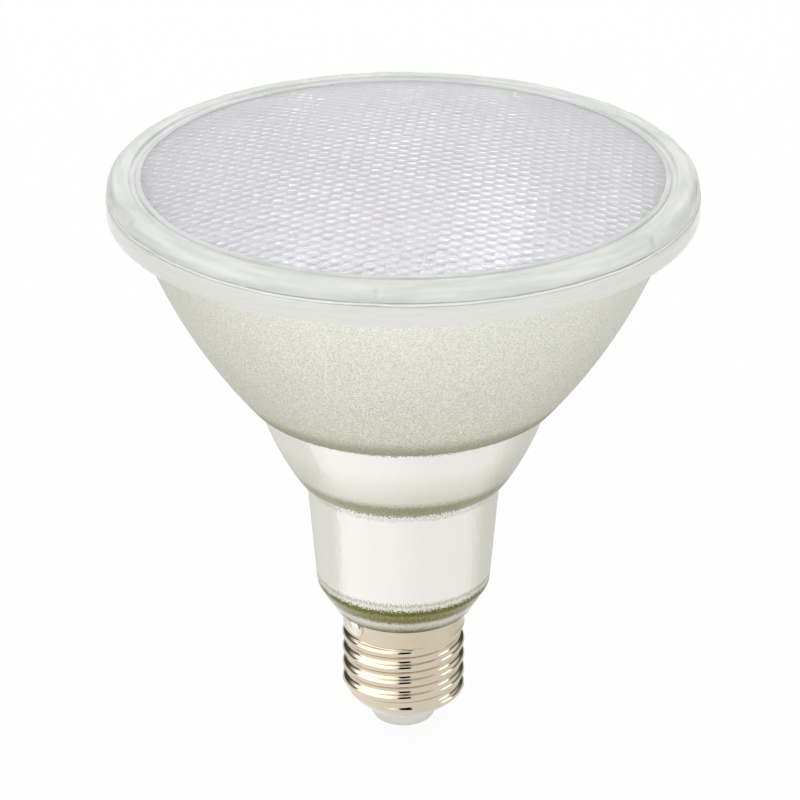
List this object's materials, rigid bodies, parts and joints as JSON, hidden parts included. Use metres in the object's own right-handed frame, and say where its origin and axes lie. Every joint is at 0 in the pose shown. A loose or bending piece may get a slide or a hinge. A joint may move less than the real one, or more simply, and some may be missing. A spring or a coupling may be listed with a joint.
{
  "type": "par spotlight bulb",
  "caption": "Reflector spot lamp with a frosted glass bowl, stepped clear neck, pebbled glass front lens and a nickel screw cap, for a screw lamp holder.",
  "frame": {"origin": "middle of the centre contact's underside, the end that goes into the lamp holder first", "axes": "+Z along the lamp's axis from the cap to the front lens; -Y is the side that the picture shows"},
  "size_m": [0.121, 0.121, 0.1323],
  "materials": {
    "reflector_glass": "frosted bowl, clear neck over a mirror coat",
    "lens_glass": "clear, pressed with fine pebbles",
    "seam_adhesive": "translucent white",
    "nickel_plate": "bright, rolled",
    "white_insulator": "moulded",
    "contact_metal": "plain",
    "solder": "bright, flowed",
    "cap_cement": "matt",
    "spun_aluminium": "spun",
    "board_white": "white solder mask",
    "phosphor": "cast phosphor",
    "screw_steel": "zinc plated",
    "housing_plastic": "moulded",
    "board_green": "solder mask",
    "can_sleeve": "shrunk sleeve",
    "film_yellow": "moulded box",
    "ferrite": "pressed",
    "enamelled_copper": "wound wire",
    "varistor_blue": "dipped coat",
    "resistor_body": "matt",
    "package_black": "moulded",
    "lead_red": "insulation",
    "lead_black": "insulation",
    "lead_brown": "insulation",
    "lead_blue": "insulation"
  },
  "bodies": {
    "root": {"reflector_body": "reflector_glass", "front_lens": "lens_glass", "lens_seal": "seam_adhesive", "screw_shell": "nickel_plate", "cap_insulator": "white_insulator", "center_contact": "contact_metal", "cap_cement": "cap_cement", "shell_solder": "solder", "live_lead": "lead_brown", "neutral_lead": "lead_blue", "heat_spreader": "spun_aluminium", "led_board": "board_white", "led_chips": "phosphor", "board_screws": "screw_steel", "led_lead_positive": "lead_red", "led_lead_negative": "lead_black", "driver_housing": "housing_plastic", "driver_board": "board_green", "bulk_capacitor": "can_sleeve", "input_capacitor": "film_yellow", "inductor_core": "ferrite", "inductor_winding": "enamelled_copper", "varistor": "varistor_blue", "fuse_resistor": "resistor_body", "bridge_rectifier": "package_black", "driver_chip": "package_black"}
  },
  "joints": []
}
